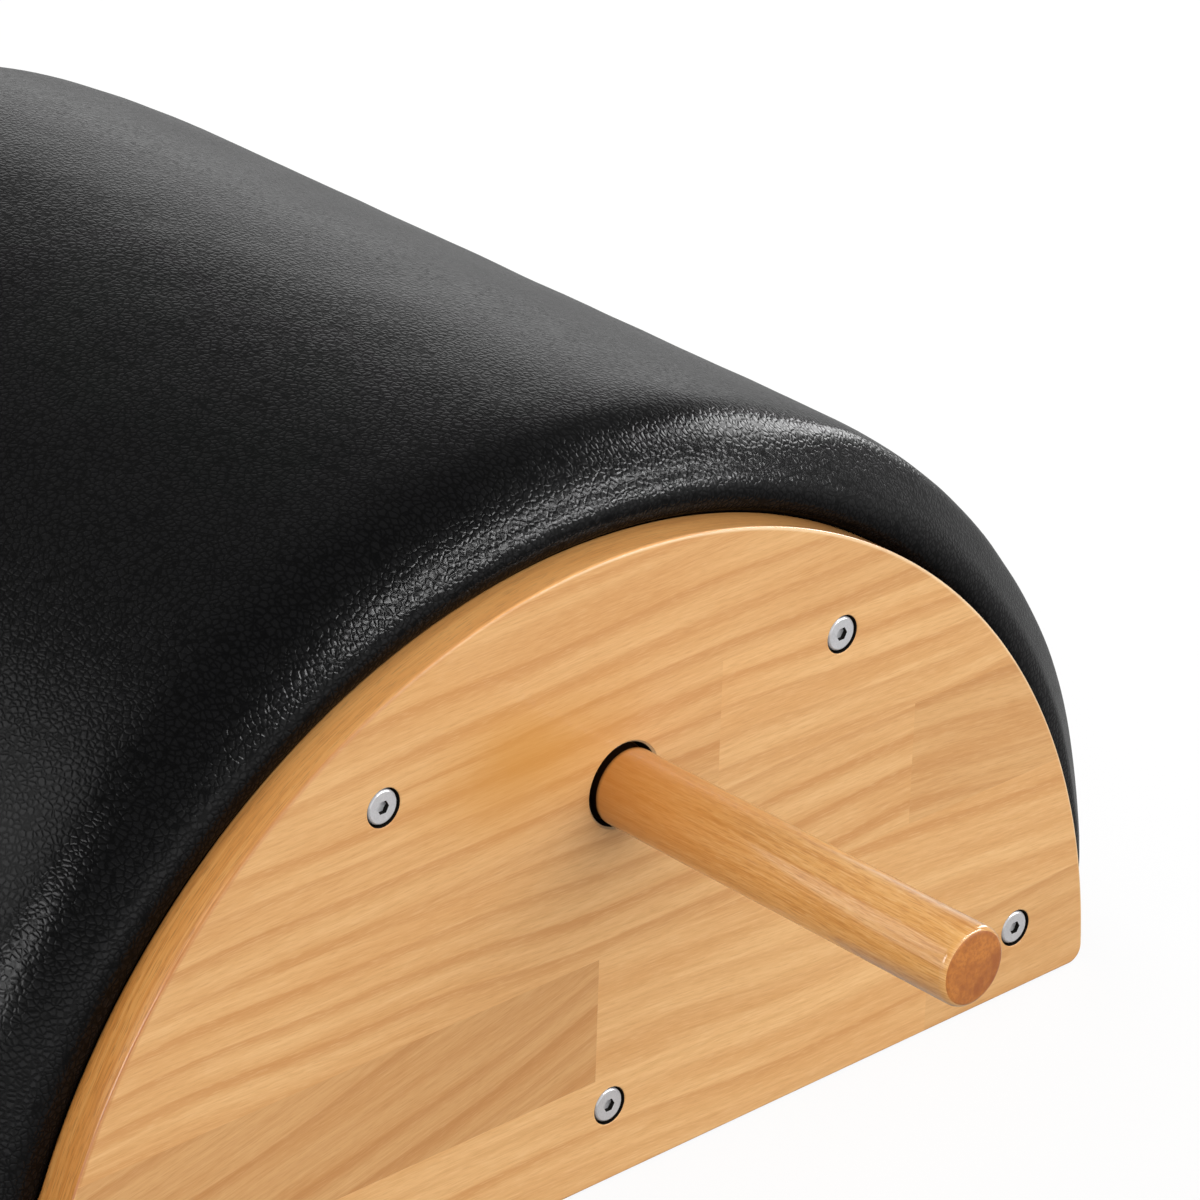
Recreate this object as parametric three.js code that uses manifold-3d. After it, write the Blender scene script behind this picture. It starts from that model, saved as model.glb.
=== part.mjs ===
// Pilates spine corrector: a padded half-round barrel that runs down into a low seat and up
// again to a step, between two laminated side panels, with a pull-out round handle on each side.
// Millimetres, +Z up. +X points to the foot of the barrel and -X to the step, and Y runs across.
// The origin is at the middle of the underside of the whole part.

import * as THREE from 'three';
import { mergeVertices } from 'three/addons/utils/BufferGeometryUtils.js';
import Module from 'manifold-3d';

const wasm = await Module();
wasm.setup();

// Gaps between pieces that touch, and the overrun of a cut past the face that it opens
const seatGap = 0.3;
const cutOverrun = 2;

// Outline of the side panels, seen from the side
const archRadius = 280;
const archCentreDrop = 6; // the arch is struck from a point this far below the floor
const wellRadius = 60; // hollow curve of the seat
const wellHeight = 60; // lowest point of the wooden rim, in the seat
const stepHeight = 115; // wooden rim on top of the step
const stepRiseRadius = 50;
const stepFlatLength = 44;
const stepEndRadius = 50;
const panelCornerRadius = 10;

// Side panels
const widthOverPanels = 528;
const panelThickness = 18;
const panelEdgeChamfer = 2;

// Padding: foam on a bent plywood deck, in a cover that is turned under the deck's edges
const padThickness = 38; // above the wooden rim
const padFootHeight = 8; // the padding's two ends stay this far above the floor
const coverThickness = 1.5;
const coverTurnUnder = 25;
const sideRollWidth = 42; // width of the rounded long edges
const endRollLength = 28;
const seamRollLength = 32; // where the barrel's and the step's padding meet in the seat
const seamDepth = 12;
const rollSquareness = 2.6; // exponent of the rounded edges: 2 is a true ellipse
const deckThickness = 9;
const deckDrop = 2; // the deck's top lies this far under the wooden rim

// Supports under the deck
const cleatWidth = 18;
const cleatDepth = 17;
const cleatFootLength = 10; // between a cleat's foot and the padding's
const cleatSeatGap = 6; // between a cleat and the seat rail
const ribThickness = 15;
const ribWidth = 64; // from the deck in to the opening under the barrel
const ribFootHeight = 10; // the step's rib, above the floor

// Cross rails, with a bolt and a barrel nut at each end
const railSize = 30;
const rearUpperRail = { degree: 117.8, depth: 38.7 }; // degrees round the arch, depth under its rim
const frontUpperRail = { degree: 58.7, depth: 37.2 };
const frontLowerRail = { inset: 42.5, height: 30 }; // inset from the foot of the arch
const rearLowerRail = { inset: 57.5, height: 30 };
const middleLowerRail = { offset: 8, height: 34 }; // offset from the middle of the arch
const stepEndRailHeight = 32;
const stepRailSpacing = 5; // clear width between the step's two rails
const boltDiameter = 6;
const boltLength = 60; // under the head
const boltHeadDiameter = 14.2;
const boltHeadHeight = 3;
const boltHeadChamfer = 0.9;
const boltHeadSunk = 0.5;
const hexAcrossFlats = 5;
const hexDepth = 2;
const boltHoleClearance = 0.5; // on the radius
const boltBoreSpare = 5; // beyond the bolt's point
const headRecessDiameter = 16.2;
const barrelNutDiameter = 10;
const barrelNutLength = 14;
const barrelNutInset = 38; // from the rail's end to the nut's axis

// Handles: a round dowel through each panel into a block behind it
const handleDiameter = 32;
const handleReach = 185; // outside the panel
const handleEngagement = 80; // inside the block
const handleEndRounding = 3;
const handleHoleDiameter = 35;
const handleBoreClearance = 0.4; // on the radius
const handleOffset = 10; // from the middle of the arch
const handleDepth = 99; // under the top of the arch
const blockSize = 70;
const blockDepth = 86;

// Facets
const arcStep = 8; // degrees along the padding, the deck and what carries it
const smallArcStep = 15;
const panelArcStep = 5;
const panelSmallArcStep = 10;
const cornerStep = 30;
const rollSteps = 5;
const endRollSteps = 3;
const boltSides = 12;
const socketSides = 6;
const nutSides = 10;
const handleSides = 24;
const roundingSteps = 3;
const leastStep = 3; // between two facet lines along the padding

// Materials
const standard = (color, roughness, metalness = 0) =>
  new THREE.MeshStandardMaterial({ color, roughness, metalness });
const panelWood = standard(0xd9a566, 0.45);
const handleWood = standard(0xcf9350, 0.4);
const railWood = standard(0xc9a26d, 0.6);
const plywood = standard(0xd3b585, 0.65);
const foamMaterial = standard(0xd8d2b8, 0.95);
const coverMaterial = standard(0x1b1b1c, 0.5);
const steel = standard(0xc9cacc, 0.3, 1);

const degrees = THREE.MathUtils.radToDeg;
const radians = THREE.MathUtils.degToRad;
const [quarterTurn, halfTurn, fullTurn] = [90, 180, 360];
const panelInner = widthOverPanels / 2 - panelThickness;
const panelOuter = widthOverPanels / 2;

// The centre of each curve of the outline follows from where it touches its neighbours
const archCentre = { x: 0, z: -archCentreDrop };
const wellCentre = centreBeside(archCentre, archRadius + wellRadius, wellHeight + wellRadius);
const riseCentre = centreBeside(wellCentre, wellRadius + stepRiseRadius, stepHeight - stepRiseRadius);
const endCentre = { x: riseCentre.x - stepFlatLength, z: stepHeight - stepEndRadius };
const stepEndX = endCentre.x - stepEndRadius;
const archToWell = angleFrom(archCentre, wellCentre);
const wellToRise = angleFrom(wellCentre, riseCentre) + fullTurn;
const handlePlace = { x: archCentre.x + handleOffset, z: archCentre.z + archRadius - handleDepth };

function centreBeside(from, distance, height) {
  const rise = height - from.z;
  return { x: from.x - Math.sqrt(distance ** 2 - rise ** 2), z: height };
}

function angleFrom(a, b) {
  return degrees(Math.atan2(b.z - a.z, b.x - a.x));
}

// Arcs and lines, each with its length, its facet count and the point and outward normal
// at a distance along it
function arc(centre, radius, from, to, step) {
  const outward = to > from ? 1 : -1;
  return {
    length: radians(Math.abs(to - from)) * radius,
    steps: Math.max(1, Math.round(Math.abs(to - from) / step)),
    at(distance) {
      const angle = radians(from) + (outward * distance) / radius;
      const [c, s] = [Math.cos(angle), Math.sin(angle)];
      return { x: centre.x + radius * c, z: centre.z + radius * s, nx: outward * c, nz: outward * s };
    },
  };
}

function line(a, b) {
  const length = Math.hypot(b.x - a.x, b.z - a.z);
  const [tx, tz] = [(b.x - a.x) / length, (b.z - a.z) / length];
  return {
    length,
    steps: 1,
    at: (distance) => ({ x: a.x + tx * distance, z: a.z + tz * distance, nx: tz, nz: -tx }),
  };
}

function pointsOf(piece) {
  return Array.from({ length: piece.steps + 1 }, (_, i) => piece.at((piece.length * i) / piece.steps));
}

// Shape of a rounded edge: how far it has risen, 0 to 1, at a share of its width, 0 to 1
function rollHeight(share) {
  const inside = 1 - Math.min(Math.max(share, 0), 1);
  return (1 - inside ** rollSquareness) ** (1 / rollSquareness);
}

function rollShares(steps) {
  return Array.from({ length: steps + 1 }, (_, i) => {
    const angle = (Math.PI / 2) * (i / steps);
    return 1 - Math.cos(angle) ** (2 / rollSquareness);
  });
}

// A track is a chain of arcs and lines under one pad, with the pad's rounded ends. Its stations
// are the facet lines that all pieces along it share, so that they lie on each other's facets.
function makeTrack(pieces, startEnd, endEnd) {
  const length = pieces.reduce((sum, piece) => sum + piece.length, 0);
  const shares = rollShares(endRollSteps);
  const fixed = shares.flatMap((share) => [share * startEnd.roll, length - share * endEnd.roll]);
  const distances = [...fixed];
  let start = 0;
  const at = [];
  for (const piece of pieces) {
    at.push({ start, piece });
    for (let i = 0; i < piece.steps; i++) {
      const s = start + (piece.length * i) / piece.steps;
      if (fixed.every((other) => Math.abs(other - s) > leastStep)) distances.push(s);
    }
    start += piece.length;
  }
  const stations = distances.sort((a, b) => a - b).map((s) => {
    const { start: from, piece } = at.findLast((entry) => entry.start <= s) ?? at[0];
    return { s, ...piece.at(s - from) };
  });
  return { length, stations, startEnd, endEnd };
}

// A point between two facet lines lies on the facet, so its normal is shorter than 1
function pointOn({ stations }, s) {
  const next = stations.findIndex((station) => station.s >= s);
  if (next <= 0) return stations[0];
  const [a, b] = [stations[next - 1], stations[next]];
  const share = (s - a.s) / (b.s - a.s);
  const between = (key) => a[key] + (b[key] - a[key]) * share;
  return { s, x: between('x'), z: between('z'), nx: between('nx'), nz: between('nz') };
}

function stationsOn(track, from, to) {
  const inside = track.stations.filter(({ s }) => s > from + seatGap && s < to - seatGap);
  return [pointOn(track, from), ...inside, pointOn(track, to)];
}

const padFootAngle = degrees(Math.asin((padFootHeight + archCentreDrop) / archRadius));
const floorEnd = { roll: endRollLength, drop: 1 };
const seamEnd = { roll: seamRollLength, drop: seamDepth / padThickness };

// The barrel's pad runs down into the seat, where the step's pad begins
const wellBottom = fullTurn - quarterTurn;
const barrelTrack = makeTrack(
  [
    arc(archCentre, archRadius, padFootAngle, archToWell, arcStep),
    arc(wellCentre, wellRadius, archToWell + halfTurn, wellBottom, smallArcStep),
  ],
  floorEnd,
  seamEnd,
);
const stepTrack = makeTrack(
  [
    arc(wellCentre, wellRadius, wellBottom, wellToRise, smallArcStep),
    arc(riseCentre, stepRiseRadius, wellToRise - halfTurn, quarterTurn, smallArcStep),
    line({ x: riseCentre.x, z: stepHeight }, { x: endCentre.x, z: stepHeight }),
    arc(endCentre, stepEndRadius, quarterTurn, halfTurn, smallArcStep),
    line({ x: stepEndX, z: endCentre.z }, { x: stepEndX, z: padFootHeight }),
  ],
  seamEnd,
  floorEnd,
);

// A closed solid through the section at each station. A section is a list of [y, offset] pairs,
// counter-clockwise in the (y, offset) plane, with as many points at every station.
function loft(stations, sectionAt) {
  const sections = stations.map(sectionAt);
  const count = sections[0].length;
  const positions = stations.flatMap((p, i) =>
    sections[i].flatMap(([y, offset]) => [p.x + p.nx * offset, y, p.z + p.nz * offset]),
  );
  const index = [];
  for (let i = 0; i < stations.length - 1; i++) {
    for (let j = 0; j < count; j++) {
      const [a, b] = [i * count + j, i * count + ((j + 1) % count)];
      index.push(a, a + count, b, b, a + count, b + count);
    }
  }
  const cap = (section) =>
    THREE.ShapeUtils.triangulateShape(section.map(([y, offset]) => new THREE.Vector2(y, offset)), []);
  const last = (stations.length - 1) * count;
  for (const [a, b, c] of cap(sections[0])) index.push(a, b, c);
  for (const [a, b, c] of cap(sections[sections.length - 1])) index.push(last + a, last + c, last + b);
  const geometry = new THREE.BufferGeometry();
  geometry.setAttribute('position', new THREE.Float32BufferAttribute(positions, 3));
  geometry.setIndex(index);
  return geometry;
}

// Boolean joins and cuts
function toSolid(geometry) {
  const bare = geometry.clone();
  bare.deleteAttribute('normal');
  bare.deleteAttribute('uv');
  const merged = mergeVertices(bare);
  return new wasm.Manifold(
    new wasm.Mesh({
      numProp: 3,
      vertProperties: new Float32Array(merged.attributes.position.array),
      triVerts: new Uint32Array(merged.index.array),
    }),
  );
}

function toGeometry(solid) {
  const { vertProperties, triVerts } = solid.getMesh();
  const geometry = new THREE.BufferGeometry();
  geometry.setAttribute('position', new THREE.BufferAttribute(vertProperties, 3));
  geometry.setIndex(new THREE.BufferAttribute(triVerts, 1));
  return geometry;
}

function cut(geometry, ...tools) {
  return toGeometry(tools.reduce((solid, tool) => solid.subtract(toSolid(tool)), toSolid(geometry)));
}

function mirroredAcross(geometry) {
  const turned = geometry.clone().scale(1, -1, 1);
  const index = turned.index.array;
  for (let i = 0; i < index.length; i += 3) [index[i], index[i + 1]] = [index[i + 1], index[i]];
  return turned;
}

function rodAlongY(radius, from, to, sides, { x, z } = { x: 0, z: 0 }) {
  return new THREE.CylinderGeometry(radius, radius, to - from, sides).translate(x, (from + to) / 2, z);
}

// The outline of a panel as points, with round bottom corners
function panelOutline() {
  const corner = panelCornerRadius;
  const footCentre = {
    x: Math.sqrt((archRadius - corner) ** 2 - (corner + archCentreDrop) ** 2),
    z: corner,
  };
  const endFootCentre = { x: stepEndX + corner, z: corner };
  const foot = angleFrom(archCentre, footCentre);
  const pieces = [
    arc(footCentre, corner, -quarterTurn, foot, cornerStep),
    arc(archCentre, archRadius, foot, archToWell, panelArcStep),
    arc(wellCentre, wellRadius, archToWell + halfTurn, wellToRise, panelSmallArcStep),
    arc(riseCentre, stepRiseRadius, wellToRise - halfTurn, quarterTurn, panelSmallArcStep),
    arc(endCentre, stepEndRadius, quarterTurn, halfTurn, panelSmallArcStep),
    arc(endFootCentre, corner, halfTurn, wellBottom, cornerStep),
  ];
  return pieces
    .flatMap(pointsOf)
    .map(({ x, z }) => new THREE.Vector2(x, z))
    .filter((p, i, all) => !i || p.distanceTo(all[i - 1]) > seatGap);
}

// Turns a shape drawn in X and Z into a plate whose faces lie at the two Y values
function plate(points, from, to, chamfer = 0) {
  const options = { depth: to - from - 2 * chamfer, bevelEnabled: chamfer > 0, bevelSegments: 1 };
  Object.assign(options, { bevelThickness: chamfer, bevelSize: chamfer, bevelOffset: -chamfer });
  const geometry = new THREE.ExtrudeGeometry(new THREE.Shape(points), options);
  return geometry.rotateX(Math.PI / 2).translate(0, to - chamfer, 0);
}

// The left panel, whose mirror image is the right one
function sidePanel(railPlaces) {
  const [from, to] = [panelInner - cutOverrun, panelOuter + cutOverrun];
  const recessFloor = panelOuter - boltHeadSunk - boltHeadHeight - seatGap;
  const tools = [rodAlongY(handleHoleDiameter / 2, from, to, handleSides, handlePlace)];
  for (const place of railPlaces) {
    tools.push(rodAlongY(boltDiameter / 2 + boltHoleClearance, from, to, boltSides, place));
    tools.push(rodAlongY(headRecessDiameter / 2, recessFloor, to, boltSides, place));
  }
  return cut(plate(panelOutline(), panelInner, panelOuter, panelEdgeChamfer), ...tools);
}

// The pad's form, drawn in by an inset on every side, on top of a section below the wooden rim
function padForm(track, inset, bottomSection) {
  const { length, startEnd, endEnd } = track;
  const half = panelInner - seatGap - inset;
  const riseFrom = (distance, { roll, drop }) => 1 - drop * (1 - rollHeight(distance / roll));
  return loft(stationsOn(track, inset, length - inset), ({ s }) => {
    const ends = riseFrom(s - inset, startEnd) * riseFrom(length - inset - s, endEnd);
    const crest = (padThickness - inset) * ends;
    const edge = rollShares(rollSteps).map((share) => [
      half - share * sideRollWidth,
      crest * rollHeight(share),
    ]);
    const otherEdge = edge.map(([y, offset]) => [-y, offset]).reverse();
    return [...bottomSection(half), ...edge, [0, crest], ...otherEdge];
  });
}

const deckTop = -deckDrop;
const deckUnder = deckTop - deckThickness;

function foam(track) {
  const bottom = deckTop + seatGap;
  return padForm(track, coverThickness + seatGap, (half) => [[-half, bottom], [half, bottom]]);
}

// The cover: its outer form less the space for the foam and the deck, open underneath
function cover(track) {
  const inner = deckUnder - seatGap;
  const outer = inner - coverThickness;
  const slot = panelInner - seatGap - coverTurnUnder;
  const outside = padForm(track, 0, (half) => [[-half, outer], [half, outer]]);
  const inside = padForm(track, coverThickness, (half) => [
    [-half, inner],
    [-slot, inner],
    [-slot, outer - cutOverrun],
    [slot, outer - cutOverrun],
    [slot, inner],
    [half, inner],
  ]);
  return cut(outside, inside);
}

// A strip of constant section along a track, between two offsets and two Y values
function strip(track, from, to, high, low, left, right) {
  return loft(stationsOn(track, from, to), () => [[left, low], [right, low], [right, high], [left, high]]);
}

function deck(track) {
  const inset = coverThickness + seatGap;
  const half = panelInner - seatGap - inset;
  return strip(track, inset, track.length - inset, deckTop, deckUnder, -half, half);
}

// A box round a rail, larger by a gap, to cut its passage in another piece
function railTool({ x, z, angle = 0 }) {
  const size = railSize + 2 * seatGap;
  return new THREE.BoxGeometry(size, widthOverPanels, size).rotateY(angle).translate(x, 0, z);
}

// Cleats carry the deck's edges along the panels
const cleatTop = deckUnder - 2 * seatGap - coverThickness;
const cleatUnder = cleatTop - cleatDepth;

function cleat(track, from, to, passages) {
  const outer = panelInner - seatGap;
  const geometry = strip(track, from, to, cleatTop, cleatUnder, outer - cleatWidth, outer);
  return cut(geometry, ...passages.map(railTool));
}

// Distance along the seat from its lowest point to where a cleat is clear of the seat rail
function cleatStart() {
  const reach = railSize / 2 + cleatSeatGap;
  return wellRadius * Math.asin(reach / (wellRadius - cleatTop));
}

// Ribs carry the deck along its middle, and the rails pass through them
const ribTop = deckUnder - seatGap;

// The deck's underside between two distances, as far as it lies above a height
function deckLine(track, from, to, floor) {
  const points = stationsOn(track, from, to).map(
    (p) => new THREE.Vector2(p.x + p.nx * ribTop, p.z + p.nz * ribTop),
  );
  const crossing = (a, b) => a.clone().lerp(b, (floor - a.y) / (b.y - a.y));
  const first = points.findIndex((p) => p.y > floor);
  const last = points.findLastIndex((p) => p.y > floor);
  const above = points.slice(first, last + 1);
  if (first > 0) above.unshift(crossing(points[first - 1], points[first]));
  if (last < points.length - 1) above.push(crossing(points[last], points[last + 1]));
  return above;
}

function rib(outline, passages) {
  return cut(plate(outline, -ribThickness / 2, ribThickness / 2), ...passages.map(railTool));
}

// The barrel's rib stands on the two outer lower rails, and the upper rails pass through it
function barrelRib() {
  const floor = rails.front_lower.z + railSize / 2 + seatGap;
  const rearEdge = rails.rear_lower.x - railSize / 2;
  const outer = deckLine(barrelTrack, 0, barrelTrack.length, floor).filter((p) => p.x > rearEdge);
  const radius = archRadius + ribTop - ribWidth;
  const footAngle = degrees(Math.asin((floor + archCentreDrop) / radius));
  const opening = pointsOf(arc(archCentre, radius, halfTurn - footAngle, footAngle, arcStep));
  const outline = [
    ...outer,
    new THREE.Vector2(outer.at(-1).x, floor),
    ...opening.map(({ x, z }) => new THREE.Vector2(x, z)),
  ];
  return rib(outline, [rails.front_upper, rails.rear_upper]);
}

// Both of the step's rails pass through its rib
function stepRib() {
  const outer = deckLine(stepTrack, cleatStart(), stepTrack.length, ribFootHeight);
  const outline = [new THREE.Vector2(outer[0].x, ribFootHeight), ...outer];
  return rib(outline, [rails.step, rails.step_end]);
}

// Rails, each in its own frame with its axis along Y and local +Z towards the deck
function railUnderArch({ degree, depth }) {
  const { x, z } = arc(archCentre, archRadius - depth, degree, degree, arcStep).at(0);
  return { x, z, angle: radians(quarterTurn - degree) };
}

const stepEndRailX = stepEndX - cleatUnder + seatGap + railSize / 2;
const rails = {
  rear_upper: railUnderArch(rearUpperRail),
  front_upper: railUnderArch(frontUpperRail),
  front_lower: { x: archCentre.x + archRadius - frontLowerRail.inset, z: frontLowerRail.height },
  middle_lower: { x: archCentre.x + middleLowerRail.offset, z: middleLowerRail.height },
  rear_lower: { x: archCentre.x - archRadius + rearLowerRail.inset, z: rearLowerRail.height },
  seat: { x: wellCentre.x, z: wellHeight + cleatTop - railSize / 2 },
  step: {
    x: stepEndRailX + railSize + stepRailSpacing,
    z: stepHeight + cleatUnder - seatGap - railSize / 2,
  },
  step_end: { x: stepEndRailX, z: stepEndRailHeight },
};
const railEnd = panelInner - seatGap;
const nutY = railEnd - barrelNutInset;
const headUnder = panelOuter - boltHeadSunk - boltHeadHeight;

function rail() {
  const tools = [];
  const nutBoreRadius = barrelNutDiameter / 2 + seatGap;
  const boreTop = barrelNutLength / 2 + seatGap;
  const boreBottom = -railSize / 2 - cutOverrun;
  for (const side of [-1, 1]) {
    const boreEnd = headUnder - boltLength - boltBoreSpare;
    const bolt = rodAlongY(boltDiameter / 2 + boltHoleClearance, boreEnd, railEnd + cutOverrun, nutSides);
    const nut = new THREE.CylinderGeometry(nutBoreRadius, nutBoreRadius, boreTop - boreBottom, nutSides);
    tools.push(side > 0 ? bolt : mirroredAcross(bolt));
    tools.push(nut.rotateX(Math.PI / 2).translate(0, side * nutY, (boreTop + boreBottom) / 2));
  }
  return cut(new THREE.BoxGeometry(railSize, 2 * railEnd, railSize), ...tools);
}

function bolt() {
  const headTop = headUnder + boltHeadHeight;
  const headRadius = boltHeadDiameter / 2;
  const profile = [
    [0, headUnder - boltLength],
    [boltDiameter / 2, headUnder - boltLength],
    [boltDiameter / 2, headUnder],
    [headRadius, headUnder],
    [headRadius, headTop - boltHeadChamfer],
    [headRadius - boltHeadChamfer, headTop],
    [0, headTop],
  ];
  const points = profile.map(([r, y]) => new THREE.Vector2(r, y));
  const hexRadius = hexAcrossFlats / 2 / Math.cos(Math.PI / socketSides);
  const socket = rodAlongY(hexRadius, headTop - hexDepth, headTop + cutOverrun, socketSides);
  return cut(new THREE.LatheGeometry(points, boltSides), socket);
}

function barrelNut() {
  const radius = barrelNutDiameter / 2;
  const body = new THREE.CylinderGeometry(radius, radius, barrelNutLength, nutSides);
  const holeRadius = boltDiameter / 2 + seatGap;
  const hole = rodAlongY(holeRadius, -barrelNutDiameter, barrelNutDiameter, nutSides);
  return cut(body.rotateX(Math.PI / 2), hole).translate(0, nutY, 0);
}

// Handles and the blocks that hold them
function handle() {
  const radius = handleDiameter / 2;
  const [inner, outer] = [panelInner - seatGap - handleEngagement, panelOuter + handleReach];
  const corner = (y, sign) =>
    Array.from({ length: roundingSteps + 1 }, (_, i) => {
      const angle = (Math.PI / 2) * (i / roundingSteps);
      return new THREE.Vector2(
        radius - handleEndRounding * (1 - Math.sin(angle)),
        y - sign * handleEndRounding * (1 - Math.cos(angle)),
      );
    });
  const start = corner(inner, -1);
  const end = corner(outer, 1).reverse();
  const points = [new THREE.Vector2(0, inner), ...start, ...end, new THREE.Vector2(0, outer)];
  const rod = toGeometry(toSolid(new THREE.LatheGeometry(points, handleSides)));
  return rod.translate(handlePlace.x, 0, handlePlace.z);
}

function handleBlock() {
  const outer = panelInner - seatGap;
  const block = new THREE.BoxGeometry(blockSize, blockDepth, blockSize);
  block.translate(handlePlace.x, outer - blockDepth / 2, handlePlace.z);
  const boreRadius = handleDiameter / 2 + handleBoreClearance;
  const boreEnd = outer - handleEngagement - seatGap;
  return cut(block, rodAlongY(boreRadius, boreEnd, outer + cutOverrun, handleSides, handlePlace));
}

// Assembly
const part = new THREE.Group();

function add(name, geometry, material, group = part) {
  const mesh = new THREE.Mesh(geometry, material);
  mesh.name = name;
  geometry.computeVertexNormals();
  group.add(mesh);
}

function addPair(name, geometry, material, group = part) {
  add(`${name}_left`, geometry, material, group);
  add(`${name}_right`, mirroredAcross(geometry), material, group);
}

const railPlaces = Object.values(rails);
const barrelCleatEnd = barrelTrack.length - cleatStart();
const stepCleatEnd = stepTrack.length - cleatFootLength;

addPair('side_panel', sidePanel(railPlaces), panelWood);
addPair('handle_block', handleBlock(), railWood);
addPair('handle', handle(), handleWood);
for (const [name, place] of Object.entries(rails)) {
  const group = new THREE.Group();
  group.position.set(place.x, 0, place.z);
  group.rotation.y = place.angle ?? 0;
  add(`${name}_rail`, rail(), railWood, group);
  addPair(`${name}_bolt`, bolt(), steel, group);
  addPair(`${name}_nut`, barrelNut(), steel, group);
  part.add(group);
}
add('barrel_rib', barrelRib(), plywood);
add('step_rib', stepRib(), plywood);
addPair('barrel_cleat', cleat(barrelTrack, cleatFootLength, barrelCleatEnd, railPlaces), plywood);
addPair('step_cleat', cleat(stepTrack, cleatStart(), stepCleatEnd, railPlaces), plywood);
for (const [name, track] of [['barrel', barrelTrack], ['step', stepTrack]]) {
  add(`${name}_deck`, deck(track), plywood);
  add(`${name}_foam`, foam(track), foamMaterial);
  add(`${name}_cover`, cover(track), coverMaterial);
}

// The origin moves from under the arch's centre to the middle of the part's length
const box = new THREE.Box3().setFromObject(part);
part.position.x = -(box.min.x + box.max.x) / 2;

export default part;
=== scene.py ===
"""Pilates spine corrector: the looks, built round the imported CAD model.

Everything is in metres, in the row frame: +Z up, +X to the foot of the barrel, Y across.
The outline is the CAD model's own, from the same named sizes.
"""

import math

import bmesh
import bpy
import numpy as np
from mathutils import Matrix, Vector, noise


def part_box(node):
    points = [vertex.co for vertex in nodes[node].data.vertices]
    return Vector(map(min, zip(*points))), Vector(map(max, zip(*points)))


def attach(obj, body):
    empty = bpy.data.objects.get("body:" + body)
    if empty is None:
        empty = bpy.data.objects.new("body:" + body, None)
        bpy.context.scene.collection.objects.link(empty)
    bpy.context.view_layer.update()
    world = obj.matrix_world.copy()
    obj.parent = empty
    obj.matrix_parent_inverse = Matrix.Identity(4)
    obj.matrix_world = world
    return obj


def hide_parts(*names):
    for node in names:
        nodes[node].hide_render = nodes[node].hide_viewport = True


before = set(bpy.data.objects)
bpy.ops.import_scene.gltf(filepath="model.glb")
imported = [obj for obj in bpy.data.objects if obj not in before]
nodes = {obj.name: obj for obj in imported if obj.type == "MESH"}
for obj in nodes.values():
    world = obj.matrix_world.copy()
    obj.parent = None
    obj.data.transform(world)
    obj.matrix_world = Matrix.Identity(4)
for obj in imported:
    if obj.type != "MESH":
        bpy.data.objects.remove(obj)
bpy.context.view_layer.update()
scene = bpy.context.scene

# Outline of the panels
ARCH_RADIUS = 0.280
ARCH_DROP = 0.006
WELL_RADIUS = 0.060
WELL_HEIGHT = 0.060
STEP_HEIGHT = 0.115
STEP_RISE_RADIUS = 0.050
STEP_FLAT = 0.044
STEP_END_RADIUS = 0.050
CORNER_RADIUS = 0.007
OUTER = 0.264
THICKNESS = 0.018
INNER = OUTER - THICKNESS
ROUND_OVER = 0.0015

# Handles
HANDLE_OFFSET = 0.010
HANDLE_RADIUS = 0.016
HANDLE_REACH = 0.185
HANDLE_ENGAGEMENT = 0.080
HANDLE_ROUNDING = 0.003
NECK_RADIUS = 0.0146
NECK_FROM, NECK_TO = OUTER - 0.004, OUTER + 0.0008
NECK_TAPER = 0.0014
NECK_SLOPE = 0.0004
SHOULDER_ROUNDING = 0.0008
SHOULDER_TO_GRIP = 0.002
HOLE_RADIUS = 0.0175
HOLE_EASE = 0.0009

# Bolts
HEAD_RADIUS = 0.0071
HEAD_HEIGHT = 0.003
HEAD_SUNK = 0.0005
HEAD_EASE = 0.0002
HEAD_BEVEL = 0.0003
HEAD_CHAMFER = 0.0008
SOCKET_RADIUS, SOCKET_DEPTH = 0.0029, 0.002
LEAD_IN_RADIUS, LEAD_IN_DEPTH = 0.0035, 0.0012
RECESS_RADIUS = 0.0081
BOLT_RADIUS = 0.003
BOLT_LENGTH = 0.060
BOLT_TIP = 0.0005
BOLT_CLEARANCE = 0.0005

# Between pieces, and for the tools that cut them: how far a tool runs past a face, the small
# chamfer that it leaves, and how near a face lies to the hole that it belongs to
GAP = 0.0003
OVERRUN = 0.002
SOCKET_OVERRUN = 0.001
EASE = 0.0006
NEAR = 0.0001

# A face belongs to a flat side, an end or a wall by the size of its normal's Y
FLAT_SIDE, FLAT_END, WALL = 0.7, 0.9, 0.5

# How many steps the curves are drawn with
CORNER_STEPS, ARCH_STEPS, WELL_STEPS, RISE_STEPS, END_STEPS = 8, 200, 48, 24, 30
ROUND_STEPS, SHOULDER_STEPS, TURN_UNDER_STEPS, ROLL_STEPS, PROFILE_STEPS = 6, 4, 4, 12, 4
HOLE_STEPS, RECESS_STEPS, HEAD_STEPS, LEAD_IN_STEPS, DOWEL_STEPS = 72, 40, 48, 32, 64
HEXAGON = 6
GRIP_RINGS = 10

# Padding
PAD_THICKNESS = 0.038
PAD_FOOT = 0.008
COVER = 0.0015
TURN_UNDER = 0.025
TURN_UNDER_RADIUS = 0.003
DECK_DROP = 0.002
DECK_THICKNESS = 0.009
DECK_TOOL_REACH = 0.02
END_ROLL = 0.028
SEAM_ROLL = 0.032
SEAM_DEPTH = 0.012
SQUARENESS = 2.6
STATION_STEP, DECK_STEP = 0.0055, 0.006
POINTS_ACROSS = 19

# The padding is fuller where the barrel turns down to its foot: how much, where and how widely
FULLNESS = 0.00215
FULLEST = math.radians(24)
FULL_SPREAD = math.radians(10.5)

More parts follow.
